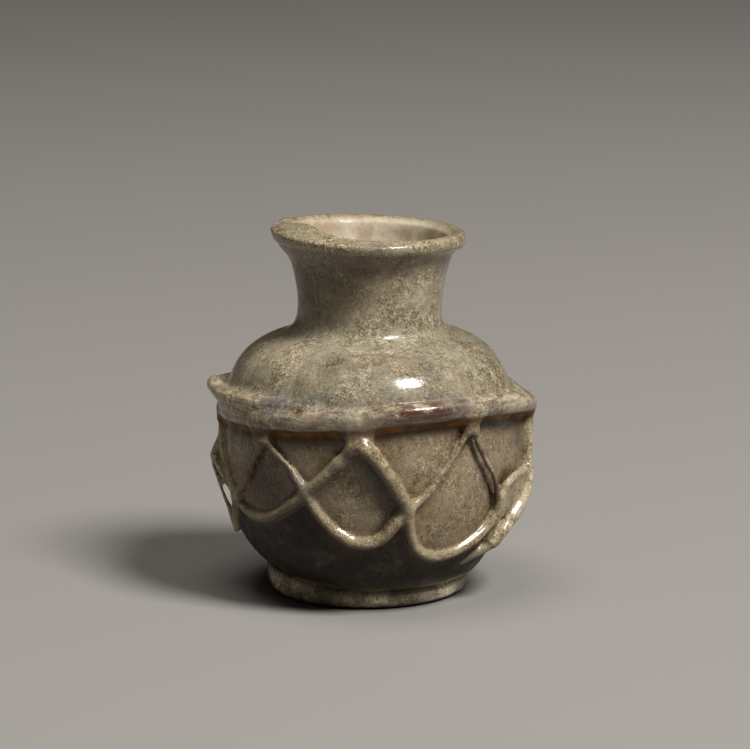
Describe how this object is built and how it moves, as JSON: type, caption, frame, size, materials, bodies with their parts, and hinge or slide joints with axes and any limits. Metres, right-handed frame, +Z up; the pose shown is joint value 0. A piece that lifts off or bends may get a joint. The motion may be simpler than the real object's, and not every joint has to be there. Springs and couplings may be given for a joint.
{
  "type": "roman glass bottle",
  "caption": "Squat blown glass bottle with a folded rim, a low foot, a thick trail round the shoulder and zigzag threads hanging from it over the belly.",
  "frame": {"origin": "on the surface that the bottle stands on, under the middle of its box", "axes": "+Z up along the neck, -Y the front, +X the side where the shoulder trail stands out most"},
  "size_m": [0.0626, 0.0618, 0.0708],
  "materials": {
    "weathered_glass": "amber glass, still glossy, under a dull olive and whitish weathering crust"
  },
  "bodies": {
    "root": {"bottle": "weathered_glass"}
  },
  "joints": []
}
